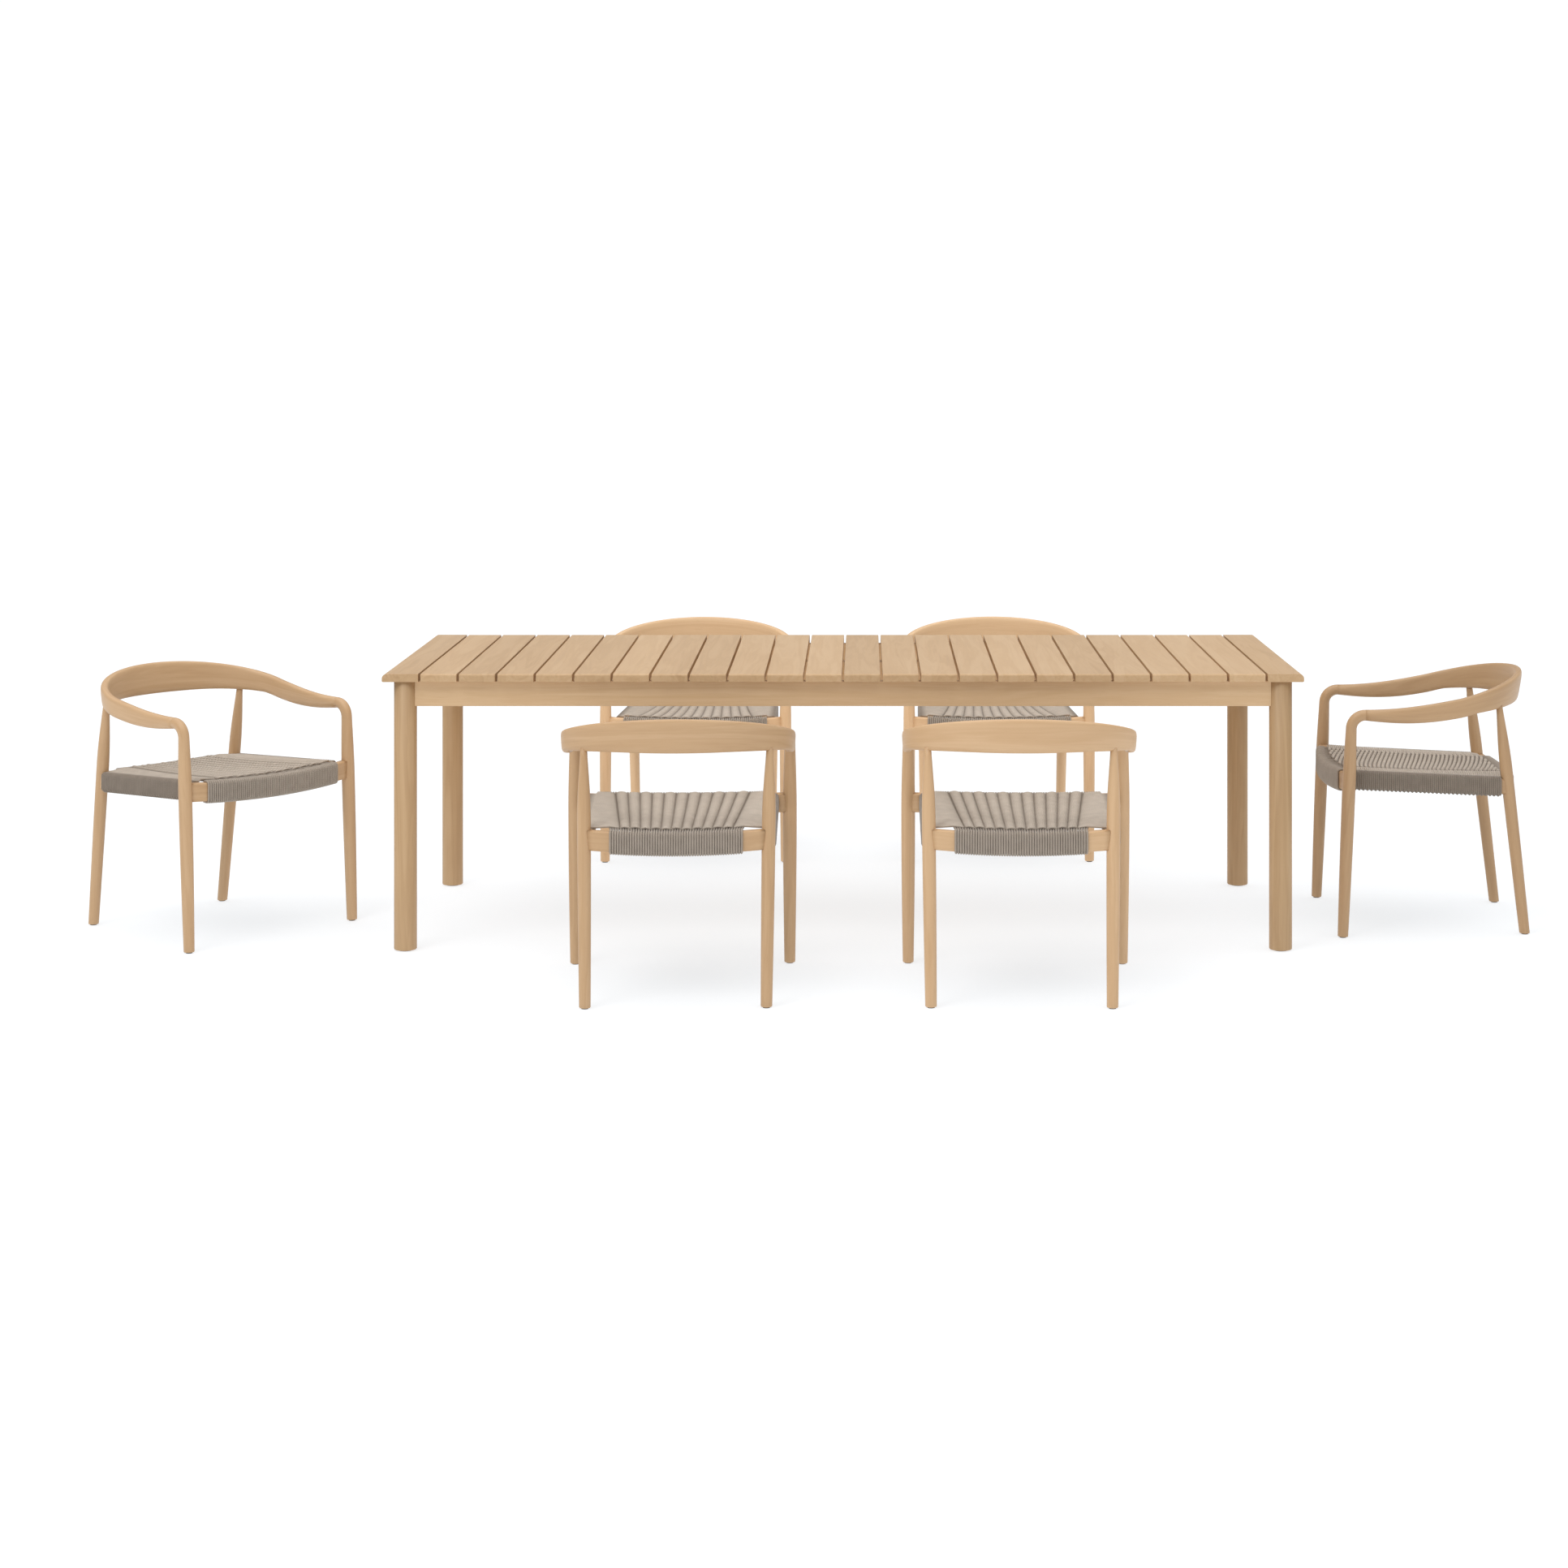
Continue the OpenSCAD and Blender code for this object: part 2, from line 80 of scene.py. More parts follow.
class Wire:
    # a socket of a material, which can stand in a sum
    def __init__(self, tree, socket=None):
        self.tree = tree
        self.socket = socket

    # adds a node: its settings first, then values or wires for its sockets
    def node(self, kind, settings=None, sockets=None, out=0):
        made = self.tree.nodes.new(kind)
        for key, value in (settings or {}).items():
            if key == "stops":
                ramp = made.color_ramp
                while len(ramp.elements) < len(value):
                    ramp.elements.new(0.5)
                for element, (place, colour) in zip(ramp.elements, value):
                    element.position = place
                    element.color = (*colour, 1)
            else:
                setattr(made, key, value)
        for key, value in (sockets or {}).items():
            if isinstance(value, Wire):
                self.tree.links.new(value.socket, made.inputs[key])
            else:
                made.inputs[key].default_value = value
        return Wire(self.tree, made.outputs[out] if made.outputs else None)

    def maths(self, operation, first, second=0.0):
        return self.node("ShaderNodeMath", {"operation": operation}, {0: first, 1: second})

    def __add__(self, other):
        return self.maths("ADD", self, other)

    def __radd__(self, other):
        return self.maths("ADD", other, self)

    def __sub__(self, other):
        return self.maths("SUBTRACT", self, other)

    def __rsub__(self, other):
        return self.maths("SUBTRACT", other, self)

    def __mul__(self, other):
        return self.maths("MULTIPLY", self, other)

    def __rmul__(self, other):
        return self.maths("MULTIPLY", other, self)

    def sine(self):
        return self.maths("SINE", self)

    def cosine(self):
        return self.maths("COSINE", self)

    # stretches a vector, one number for each of its axes
    def stretched(self, amounts):
        return self.node("ShaderNodeVectorMath", {"operation": "MULTIPLY"}, {0: self, 1: amounts})

    # how far a value has come between low and high, from 0 to 1
    def between(self, low, high):
        return self.node("ShaderNodeMapRange", {"interpolation_type": "SMOOTHSTEP"},
                         {"Value": self, "From Min": low, "From Max": high})


def startFinish(name):
    material = bpy.data.materials.new(name)
    material.use_nodes = True
    material.node_tree.nodes.clear()
    return material, Wire(material.node_tree)


def endFinish(wire, colour, roughness, height, fixed, bump, reach=0.001):
    normal = wire.node("ShaderNodeBump", {}, {"Height": height, "Strength": bump, "Distance": reach})
    sockets = {"Base Color": colour, "Roughness": roughness, "Normal": normal}
    sockets.update(fixed)
    shader = wire.node("ShaderNodeBsdfPrincipled", {}, sockets)
    wire.node("ShaderNodeOutputMaterial", {}, {"Surface": shader})


def noise(wire, vector, scale, detail, rough=0.5, distortion=0.0):
    return wire.node("ShaderNodeTexNoise", {}, {
        "Vector": vector, "Scale": scale, "Detail": detail, "Roughness": rough,
        "Distortion": distortion})


def mixColours(wire, share, first, second, how="MIX"):
    return wire.node("ShaderNodeMix", {"data_type": "RGBA", "blend_type": how},
                     {0: share, 6: first, 7: second}, out=2)


woodSettings = {
    "table": {"pale": (0.62, 0.43, 0.25), "mid": (0.555, 0.364, 0.195), "deep": (0.445, 0.275, 0.135),
              "roughness": 0.46},
    "chair": {"pale": (0.625, 0.42, 0.242), "mid": (0.555, 0.354, 0.19), "deep": (0.45, 0.27, 0.135),
              "roughness": 0.42},
}


# wood whose grain runs along the first number of each piece's own grain attribute
def woodFinish(name, settings):
    material, wire = startFinish(name)
    grain = wire.node("ShaderNodeAttribute", {"attribute_name": "grain"}, out="Vector")
    tone = wire.node("ShaderNodeAttribute", {"attribute_name": "tone"}, out="Fac")
    figure = noise(wire, grain.stretched((0.9, 13, 13)), 1.6, 4, 0.55, 0.6)
    rings = (figure * 34).sine() * 0.5 + 0.5
    streaks = noise(wire, grain.stretched((3, 120, 120)), 1, 5, 0.6)
    fibres = noise(wire, grain.stretched((14, 900, 900)), 1, 2, 0.6)
    cloud = noise(wire, grain.stretched((2, 5, 5)), 1.3, 2, 0.5)
    # the tone attribute holds each part's own tone and also painted light: the rails under the top are
    # made paler, and each chair paler or darker to match how it is lit
    shade = figure * 0.42 + rings * 0.13 + streaks * 0.3 + cloud * 0.22 + tone * 0.32 - 0.17
    colour = wire.node("ShaderNodeValToRGB", {"stops": [
        (0.18, settings["deep"]), (0.5, settings["mid"]), (0.8, settings["pale"])]}, {"Fac": shade})
    # short dark pores lie along the grain
    pores = noise(wire, grain.stretched((26, 620, 620)), 1, 1, 0.5).between(0.66, 0.74)
    colour = mixColours(wire, pores * 0.22, colour, (*settings["deep"], 1))
    # the same attribute scales the brightness, so its painted light shows here too
    colour = wire.node("ShaderNodeVectorMath", {"operation": "SCALE"},
                       {0: colour, "Scale": tone * 0.3 + 0.85})
    height = fibres * 0.35 + streaks * 0.5 - pores * 0.6
    endFinish(wire, colour, streaks * 0.12 + settings["roughness"] - 0.06, height,
              {"Specular IOR Level": 0.42}, bump=0.22, reach=0.0006)
    return material


cordSettings = {"pale": (0.6, 0.52, 0.436), "deep": (0.38, 0.323, 0.266), "lay": 1650.0,
                "paintedGrooveShade": (0.27, 0.235, 0.205, 1)}


# cord of twisted strands; its twine attribute holds the way along it and a turn round it,
# and a second attribute paints shade into it: 1 where the cord lies high and lit, 0 where it lies low
# and its colour is darkened to a painted groove shade
def cordFinish(name, settings):
    material, wire = startFinish(name)
    twine = wire.node("ShaderNodeAttribute", {"attribute_name": "twine"}, out="Vector")
    parts = wire.node("ShaderNodeSeparateXYZ", {}, {"Vector": twine})
    outputs = parts.socket.node.outputs
    along, turnX, turnY = [Wire(wire.tree, outputs[k]) for k in range(3)]
    place = wire.node("ShaderNodeTexCoord", {}, out="Object")
    phase = along * settings["lay"]
    strand = (phase.sine() * turnX + phase.cosine() * turnY) * 0.5 + 0.5
    fuzz = noise(wire, place, 1500, 2, 0.6)
    patches = noise(wire, place, 45, 2, 0.5)
    crest = wire.node("ShaderNodeAttribute", {"attribute_name": "crest"}, out="Fac")
    shade = strand * 0.3 + fuzz * 0.32 + patches * 0.5 - 0.06
    colour = wire.node("ShaderNodeValToRGB", {"stops": [
        (0.15, settings["deep"]), (0.8, settings["pale"])]}, {"Fac": shade})
    # painted shade: where the cord lies low, the colour is multiplied towards a dark groove colour
    shadow = mixColours(wire, crest, settings["paintedGrooveShade"], (1, 1, 1, 1))
    colour = mixColours(wire, 1.0, colour, shadow, "MULTIPLY")
    endFinish(wire, colour, fuzz * 0.1 + 0.8, strand * 0.7 + fuzz * 0.3,
              {"Specular IOR Level": 0.2, "Sheen Weight": 0.25, "Sheen Roughness": 0.5},
              bump=0.5, reach=0.0009)
    return material


# a plain finish in object coordinates, for the inner pieces
def plainFinish(name, pale, deep, roughness, metallic, scale, stretch=(1, 1, 1)):
    material, wire = startFinish(name)
    place = wire.node("ShaderNodeTexCoord", {}, out="Object").stretched(stretch)
    broad = noise(wire, place, scale, 3)
    fine = noise(wire, place, scale * 9, 2)
    colour = mixColours(wire, (broad * 0.7 + fine * 0.3).between(0.3, 0.7), (*deep, 1), (*pale, 1))
    endFinish(wire, colour, fine * 0.15 + roughness, fine, {"Metallic": metallic}, bump=0.1)
    return material


tableWood = woodFinish("table_wood", woodSettings["table"])
chairWood = woodFinish("chair_wood", woodSettings["chair"])
seatCord = cordFinish("seat_cord", cordSettings)
innerWood = plainFinish("inner_wood", (0.5, 0.32, 0.18), (0.38, 0.23, 0.12), 0.6, 0, 30, (1, 1, 8))
steel = plainFinish("fastener_steel", (0.62, 0.62, 0.6), (0.45, 0.45, 0.44), 0.3, 1, 90)
glidePlastic = plainFinish("glide_plastic", (0.05, 0.048, 0.045), (0.03, 0.03, 0.028), 0.5, 0, 120)
print("finishes made")


seeds = random.Random(7)


def addLayers(bm):
    return bm.verts.layers.float_vector.new("grain"), bm.verts.layers.float.new("tone")


# turns a bmesh into a mesh; its faces are smooth except for end caps
def toMesh(bm, name):
    bmesh.ops.recalc_face_normals(bm, faces=bm.faces)
    for face in bm.faces:
        face.smooth = len(face.verts) <= 4
    mesh = bpy.data.meshes.new(name)
    bm.to_mesh(mesh)
    bm.free()
    return mesh


def addPiece(name, mesh, material, body, nodes, flatFaces=False):
    mesh.materials.append(material)
    piece = bpy.data.objects.new(name, mesh)
    scene.collection.objects.link(piece)
    if flatFaces:
        # keeps the broad faces flat beside their eased edges
        weighted = piece.modifiers.new("flat_faces", "WEIGHTED_NORMAL")
        weighted.keep_sharp = False
    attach(piece, body)
    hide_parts(*nodes)
    return piece


# rounds some of a part's edges
def easeEdges(bm, edges, radius, segments):
    bmesh.ops.bevel(bm, geom=edges, offset=radius, offset_type="OFFSET", segments=segments,
                    profile=0.5, affect="EDGES", material=-1, clamp_overlap=True)


def edgeMiddle(edge):
    return (edge.verts[0].co + edge.verts[1].co) / 2


# whether an edge runs along an axis
def runsAlong(edge, axis):
    run = (edge.verts[1].co - edge.verts[0].co)
    return abs(run[axis]) > 0.9 * run.length


# a board about the origin; each rounding is a test that picks edges, a radius and a count
def makeBoard(size, ease, roundings=()):
    part = bmesh.new()
    bmesh.ops.create_cube(part, size=1)
    bmesh.ops.scale(part, vec=size, verts=part.verts)
    for test, radius, segments in roundings:
        easeEdges(part, [e for e in part.edges if test(e)], radius, segments)
    if ease:
        easeEdges(part, [e for e in part.edges if e.calc_face_angle(0) > 1.2], ease, 2)
    return part


# lays the grain along one axis of a part, at a random place in the wood and with a tone of its own
def layGrain(part, along, palest, deepest):
    grain, tone = addLayers(part)
    order = {"x": (0, 1, 2), "y": (1, 0, 2), "z": (2, 0, 1)}[along]
    shift = Vector([seeds.uniform(-9, 9) for _ in range(3)])
    level = seeds.uniform(deepest, palest)
    for v in part.verts:
        v[grain] = Vector([v.co[k] for k in order]) + shift
        v[tone] = level


# adds a finished part to the rest of its piece
def gather(bm, part):
    mesh = bpy.data.meshes.new("part")
    part.to_mesh(mesh)
    part.free()
    bm.from_mesh(mesh)
    bpy.data.meshes.remove(mesh)


tableSettings = {"slatCount": 24, "gap": 6.5 * mm, "endRound": 6 * mm, "tableEndRound": 13 * mm,
                 "underRound": 5 * mm, "slatEase": 1.3 * mm, "apronEase": 1.5 * mm,
                 "footRound": 3 * mm}


def makeSlats(settings):
    low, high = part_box("top_slats")
    count = settings["slatCount"]
    length = high[0] - low[0]
    pitch = (length + settings["gap"]) / count
    width = pitch - settings["gap"]
    bm = bmesh.new()
    for k in range(count):
        side = -1 if k == 0 else 1

        def isEndTop(edge):
            return runsAlong(edge, 0) and edgeMiddle(edge).z > 0

        def isOuterTop(edge):
            place = edgeMiddle(edge)
            return runsAlong(edge, 1) and place.z > 0 and place.x * side > 0

        def isOuterUnder(edge):
            place = edgeMiddle(edge)
            return runsAlong(edge, 1) and place.z < 0 and place.x * side > 0

        roundings = [(isEndTop, settings["endRound"], 4)]
        if k in (0, count - 1):
            roundings = [(isOuterTop, settings["tableEndRound"], 6),
                         (isOuterUnder, settings["underRound"], 4)] + roundings
        part = makeBoard((width, high[1] - low[1], high[2] - low[2]), settings["slatEase"], roundings)
        layGrain(part, "y", 0.7, 0.35)
        middle = (low[0] + width / 2 + k * pitch, tableMiddle.y, (low[2] + high[2]) / 2)
        bmesh.ops.translate(part, vec=middle, verts=part.verts)
        gather(bm, part)
    addPiece("slat_boards", toMesh(bm, "slat_boards"), tableWood, "table",
             ["top_slats"], flatFaces=True)


def makeRailBoard(node, along, ease):
    low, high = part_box(node)
    part = makeBoard([high[k] - low[k] for k in range(3)], ease)
    # painted light: the rails get the palest tones of all the boards, standing in for the light their
    # faces lack in the shade under the top's overhang
    layGrain(part, along, 1.0, 0.9)
    bmesh.ops.translate(part, vec=middleOf(node), verts=part.verts)
    addPiece(node + "_board", toMesh(part, node), tableWood, "table", [node],
             flatFaces=True)


def makeTableLegs(settings):
    low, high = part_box("table_legs")
    radius = middleOf("left_apron").x - low[0]
    height = high[2] - low[2]
    bm = bmesh.new()
    for x in (low[0] + radius, high[0] - radius):
        for y in (low[1] + radius, high[1] - radius):
            part = bmesh.new()
            bmesh.ops.create_cone(part, cap_ends=True, segments=56, radius1=radius,
                                  radius2=radius, depth=height)
            rim = [e for e in part.edges if edgeMiddle(e).z < 0 and not runsAlong(e, 2)]
            easeEdges(part, rim, settings["footRound"], 3)
            layGrain(part, "z", 0.4, 0.1)
            bmesh.ops.translate(part, vec=(x, y, low[2] + height / 2), verts=part.verts)
            gather(bm, part)
    addPiece("table_leg_set", toMesh(bm, "table_leg_set"), tableWood, "table",
             ["table_legs"], flatFaces=True)


makeSlats(tableSettings)
for node, along in (("front_apron", "x"), ("back_apron", "x"), ("left_apron", "y"),
                    ("right_apron", "y"), ("centre_rail", "x")):
    makeRailBoard(node, along, tableSettings["apronEase"])
makeTableLegs(tableSettings)
print("table made")


# a chair is made once about the middle of its feet, facing +Y, and copied to its six places

# painted light: how much paler each chair's wood is made than the others', to match how brightly that
# chair is lit where it stands
chairPaintedLight = {"front_left": 0.0, "front_right": 0.35, "back_left": 0.8, "back_right": 0.8,
              "left_end": 0.05, "right_end": -0.25}

# places and heights are metres from the middle of a chair's feet, leans and splay are degrees
legSettings = {"frontX": 0.285, "backX": 0.226, "feetY": 0.257, "floor": 0.0025,
               "footR": 0.0145, "frontR": 0.0185, "frontTopR": 0.015, "backR": 0.0173,
               "backTopR": 0.0085, "frontLean": 2.3, "backLean": 6.45, "splay": 0.7,
               "armHeight": 0.617, "bendR": 0.039, "widest": 0.72, "sides": 28,
               "frontRings": 22, "backRings": 26, "bendRings": 12, "footEase": 0.002, "easeStep": 0.0006,
               "tipReach": 0.002, "tipSlim": 0.0001, "intoBand": 0.008, "tone": 0.45}
bandSettings = {"halfWidth": 0.287, "roundY": -0.068, "depth": 0.201, "backTop": 0.722,
                "backBottom": 0.635, "halfThick": 0.012, "lean": 10, "dip": 0.012,
                "armRings": 16, "curveRings": 34, "sides": 28, "roundShare": 0.3,
                "riseShare": 0.85, "squareness": 0.5, "tone": 0.5}


def mixed(a, b, t):
    return a + (b - a) * t


def wayOf(settings):
    lean = math.radians(settings["frontLean"])
    length = (settings["armHeight"] - settings["bendR"] * (1 - math.sin(lean))) / math.cos(lean)
    bendY = settings["feetY"] - length * math.sin(lean) - settings["bendR"] * math.cos(lean)
    return lean, length, bendY


frontLean, frontLength, bendY = wayOf(legSettings)


def swell(t, foot, belly, top, widest):
    if t < widest:
        return foot + (belly - foot) * math.sin(math.pi / 2 * t / widest)
    past = (t - widest) / (1 - widest)
    return top + (belly - top) * max(0.0, math.cos(math.pi / 2 * past)) ** 1.2


# joins rings of verts: each ring is a middle, two unit axes, two half sizes and a squareness
def sweep(bm, layers, rings, sides, shift, level):
    grain, tone = layers
    last, way, lastMiddle = None, 0.0, None
    for middle, across, up, halfAcross, halfUp, square in rings:
        made = bmesh.ops.create_circle(bm, cap_ends=False, segments=sides, radius=1)["verts"]
        if lastMiddle is not None:
            way += (middle - lastMiddle).length
        for v in made:
            power = 1 - square
            a = math.copysign(abs(v.co.x) ** power, v.co.x) * halfAcross
            b = math.copysign(abs(v.co.y) ** power, v.co.y) * halfUp
            v.co = middle + across * a + up * b
            v[grain] = Vector((way, a, b)) + shift
            v[tone] = level
        edges = list({e for v in made for e in v.link_edges})
        if last:
            bmesh.ops.bridge_loops(bm, edges=last + edges)
        else:
            bmesh.ops.edgeloop_fill(bm, edges=edges)
        last, lastMiddle = edges, middle
    bmesh.ops.edgeloop_fill(bm, edges=last)


# a turned leg from its eased foot up: its foot, its way up, a section's two axes and its radii
def legRings(foot, up, axes, length, belly, top, count, s):
    def ring(way, radius):
        return (foot + up * way, *axes, radius, radius, 0)

    start = s["floor"] + s["footEase"]
    rings = [ring(s["floor"], s["footR"] - s["footEase"]),
             ring(s["floor"] + s["easeStep"], s["footR"] - s["easeStep"])]
    for k in range(count + 1):
        way = mixed(start, length, k / count)
        rings.append(ring(way, swell(way / length, s["footR"], belly, top, s["widest"])))
    return rings


def frontLegRings(side, s):
    up = Vector((0, -math.sin(frontLean), math.cos(frontLean)))
    foot = Vector((side * s["frontX"], s["feetY"], 0))
    xAxis = Vector((1, 0, 0))
    rings = legRings(foot, up, (xAxis, xAxis.cross(up)), frontLength, s["frontR"], s["frontTopR"],
                     s["frontRings"], s)
    centre = Vector((side * s["frontX"], bendY, s["armHeight"] - s["bendR"]))
    for k in range(1, s["bendRings"] + 1):
        a = mixed(frontLean, math.pi / 2, k / s["bendRings"])
        out = Vector((0, math.cos(a), math.sin(a)))
        tangent = Vector((0, -math.sin(a), math.cos(a)))
        rings.append((centre + out * s["bendR"], xAxis, xAxis.cross(tangent), s["frontTopR"],
                      s["frontTopR"], 0))
    # the tip reaches into the arm, a hair slimmer than it
    middle, across, flat, radius, _, _ = rings[-1]
    tipR = radius - s["tipSlim"]
    rings.append((middle + tangent * s["tipReach"], across, flat, tipR, tipR, 0))
    return rings


def backLegRings(side, s):
    turn = Matrix.Rotation(side * math.radians(s["splay"]), 3, "Y")
    turn = Matrix.Rotation(-math.radians(s["backLean"]), 3, "X") @ turn
    foot = Vector((side * s["backX"], -s["feetY"], 0))
    axes = (Vector((1, 0, 0)), Vector((0, 1, 0)))
    length = bandSettings["backBottom"] + s["intoBand"]
    return legRings(foot, turn @ Vector((0, 0, 1)), axes, length, s["backR"], s["backTopR"],
                    s["backRings"], s)


def bandRings(s, leg):
    straight = bendY - s["roundY"]
    curve = math.pi / 2 * math.sqrt((s["halfWidth"] ** 2 + s["depth"] ** 2) / 2)
    total = straight + curve
    armTop = leg["armHeight"] + leg["frontTopR"]
    armBottom = leg["armHeight"] - leg["frontTopR"]
    half = []
    for k in range(s["armRings"] + s["curveRings"] + 1):
        if k < s["armRings"]:
            t = k / s["armRings"]
            ease = t * t * (3 - 2 * t)
            x, y = leg["frontX"] + (s["halfWidth"] - leg["frontX"]) * ease, bendY - straight * t
            out = Vector((1, 0, 0))
            u = straight * t / total
        else:
            a = math.pi / 2 * (k - s["armRings"]) / s["curveRings"]
            x, y = s["halfWidth"] * math.cos(a), s["roundY"] - s["depth"] * math.sin(a)
            out = Vector((math.cos(a) / s["halfWidth"], -math.sin(a) / s["depth"], 0)).normalized()
            u = (straight + curve * a / (math.pi / 2)) / total
        rise = math.sin(math.pi / 2 * u) ** 2
        under = math.sin(math.pi / 2 * min(1, u / s["riseShare"])) ** 2
        top = armTop + (s["backTop"] - armTop) * rise
        bottom = armBottom + (s["backBottom"] - armBottom) * under
        bottom -= s["dip"] * math.sin(2 * math.pi * u) if u < 0.5 else 0
        slim = max(0, 1 - u / s["roundShare"]) ** 2
        halfThick = s["halfThick"] + (leg["frontTopR"] - s["halfThick"]) * slim
        half.append((x, y, out, (top + bottom) / 2, halfThick, (top - bottom) / 2,
                     s["squareness"] * min(1, u / s["roundShare"]), math.radians(s["lean"]) * rise))
    rings = []
    for side in (1, -1):
        part = half if side == 1 else half[-2::-1]
        for x, y, out, z, halfThick, halfTall, square, lean in part:
            outward = Vector((side * out.x, out.y, 0))
            up = Vector((0, 0, 1)) + outward * math.tan(lean)
            rings.append((Vector((side * x, y, z)), outward, up, halfThick, halfTall, square))
    return rings


railSettings = {"frontZ": 0.432, "backZ": 0.413, "tall": 0.051, "sideTall": 0.042, "thick": 0.026,
                "frontBow": 0.03, "backBow": 0.02, "frontDip": 0.01, "backDip": 0.008,
                "round": 0.005, "inset": 0.004, "sideInset": 0.048, "endInset": 0.008, "cuts": 23}

leanTan = math.tan(math.radians(legSettings["frontLean"]))
backTan = math.tan(math.radians(legSettings["backLean"]))
splayTan = math.tan(math.radians(legSettings["splay"]))
railFrontY = legSettings["feetY"] - railSettings["frontZ"] * leanTan - railSettings["inset"]
railBackY = -legSettings["feetY"] + railSettings["backZ"] * backTan
railBackX = legSettings["backX"] + railSettings["backZ"] * splayTan


# how far a bowed rail has left its chord, from 1 in the middle to 0 at its ends
def bowShare(x, halfSpan):
    return 1 - (x / halfSpan) ** 2


def frontRailMiddle(x):
    share = bowShare(x, legSettings["frontX"])
    return Vector((x, railFrontY + railSettings["frontBow"] * share,
                   railSettings["frontZ"] - railSettings["frontDip"] * share))


def backRailMiddle(x):
    share = bowShare(x, railBackX)
    return Vector((x, railBackY - railSettings["backBow"] * share,
                   railSettings["backZ"] - railSettings["backDip"] * share))


# a straight board along X, cut into lengths and then bent to follow a middle line
def bentRail(halfSpan, middleAt):
    size = (2 * halfSpan, railSettings["thick"], railSettings["tall"])
    part = makeBoard(size, 0, [(lambda e: runsAlong(e, 0), railSettings["round"], 3)])
    long = [e for e in part.edges if runsAlong(e, 0)]
    bmesh.ops.subdivide_edges(part, edges=long, cuts=railSettings["cuts"], use_grid_fill=True)
    layGrain(part, "x", 0.7, 0.4)
    for v in part.verts:
        bend = middleAt(v.co.x)
        v.co = Vector((v.co.x, bend.y + v.co.y, bend.z + v.co.z))
    return part


def sideRailAxis(side):
    back = Vector((side * railBackX, railBackY, railSettings["backZ"]))
    frontX = legSettings["frontX"] - railSettings["sideInset"]
    return back, Vector((side * frontX, railFrontY, railSettings["frontZ"]))


def sideRail(side):
    back, front = sideRailAxis(side)
    length = (front - back).length
    size = (railSettings["thick"], length, railSettings["sideTall"])
    part = makeBoard(size, 0, [(lambda e: runsAlong(e, 1), railSettings["round"], 3)])
    layGrain(part, "y", 0.7, 0.4)
    ahead = (front - back).normalized()
    across = ahead.cross(Vector((0, 0, 1))).normalized()
    turn = Matrix((across, ahead, across.cross(ahead))).transposed()
    for v in part.verts:
        v.co = turn @ v.co + (back + front) / 2
    return part


def chairFrameMeshes():
    made = {}
    for kind, rings in (("front_legs", frontLegRings), ("back_legs", backLegRings)):
        bm = bmesh.new()
        layers = addLayers(bm)
        for side in (-1, 1):
            shift = Vector([seeds.uniform(-9, 9) for _ in range(3)])
            sweep(bm, layers, rings(side, legSettings), legSettings["sides"], shift, legSettings["tone"])
        made[kind] = toMesh(bm, kind)
    bm = bmesh.new()
    sweep(bm, addLayers(bm), bandRings(bandSettings, legSettings), bandSettings["sides"],
          Vector((0, 3, 5)), bandSettings["tone"])
    made["arm_band"] = toMesh(bm, "arm_band")
    bm = bmesh.new()
    gather(bm, bentRail(legSettings["frontX"] - railSettings["endInset"], frontRailMiddle))
    gather(bm, bentRail(railBackX - railSettings["endInset"], backRailMiddle))
    made["cross_rails"] = toMesh(bm, "cross_rails")
    bm = bmesh.new()
    gather(bm, sideRail(-1))
    gather(bm, sideRail(1))
    made["side_rails"] = toMesh(bm, "side_rails")
    return made


# the long cords lie in groups that fan out from the back rail to the front rail; a cross cord
# rises over every other group and swells there, and hangs below the ones between
# three of these numbers paint shade into the cords: how lit the windings round the side rails, the
# windings round the front and back rails, and the long cords on the deck are painted, from 0 in full
# painted shade to 1 unshaded
weaveSettings = {"cordR": 0.003, "groups": 13, "inGroup": 4, "backHalf": 0.1655,
                 "frontHalf": 0.225, "frontGroup": 0.0325, "sidePitch": 0.0056, "rise": 0.0062,
                 "fatter": 0.2, "wider": 0.22, "edgeRise": 0.0045, "sag": 0.005,
                 "backGap": 0.024, "frontGap": 0.013, "backBow": -0.021, "frontBow": 0.021,
                 "bowPower": 2.5, "corner": 0.008, "steps": 6, "drop": 0.0028, "sidePaintedLight": 0.3,
                 "railPaintedLight": 0.62, "deckPaintedLight": 0.12, "tuck": 0.018, "lip": 0.004,
                 "warpSteps": 14, "slotPitch": 2.1}


# points round three corners of a rail's section, out from its inner face and over its top;
# each is (outward, up) from the rail's middle
def windingPoints(halfThick, halfTall, s, drop=0.0):
    a, b, r = halfThick + s["cordR"], halfTall + s["cordR"], s["corner"]
    points = [(-a, -b + s["tuck"])]
    corners = [((-a + r, -b + r - drop), 180, 270), ((a - r, -b + r - drop), 270, 360),
               ((a - r, b - r), 0, 90)]
    for (cx, cz), start, end in corners:
        for k in range(4):
            angle = math.radians(start + (end - start) * k / 3)
            points.append((cx + r * math.cos(angle), cz + r * math.sin(angle)))
    return points


# the edges between the groups of warps, from the back rail (0) to the front rail (1)
def groupEdge(k, t, s):
    back = -s["backHalf"] + 2 * s["backHalf"] * k / s["groups"]
    inner = (s["groups"] - 2) * s["frontGroup"] / 2
    if k == 0:
        front = -s["frontHalf"]
    elif k == s["groups"]:
        front = s["frontHalf"]
    else:
        front = -inner + (k - 1) * s["frontGroup"]
    return mixed(back, front, t)


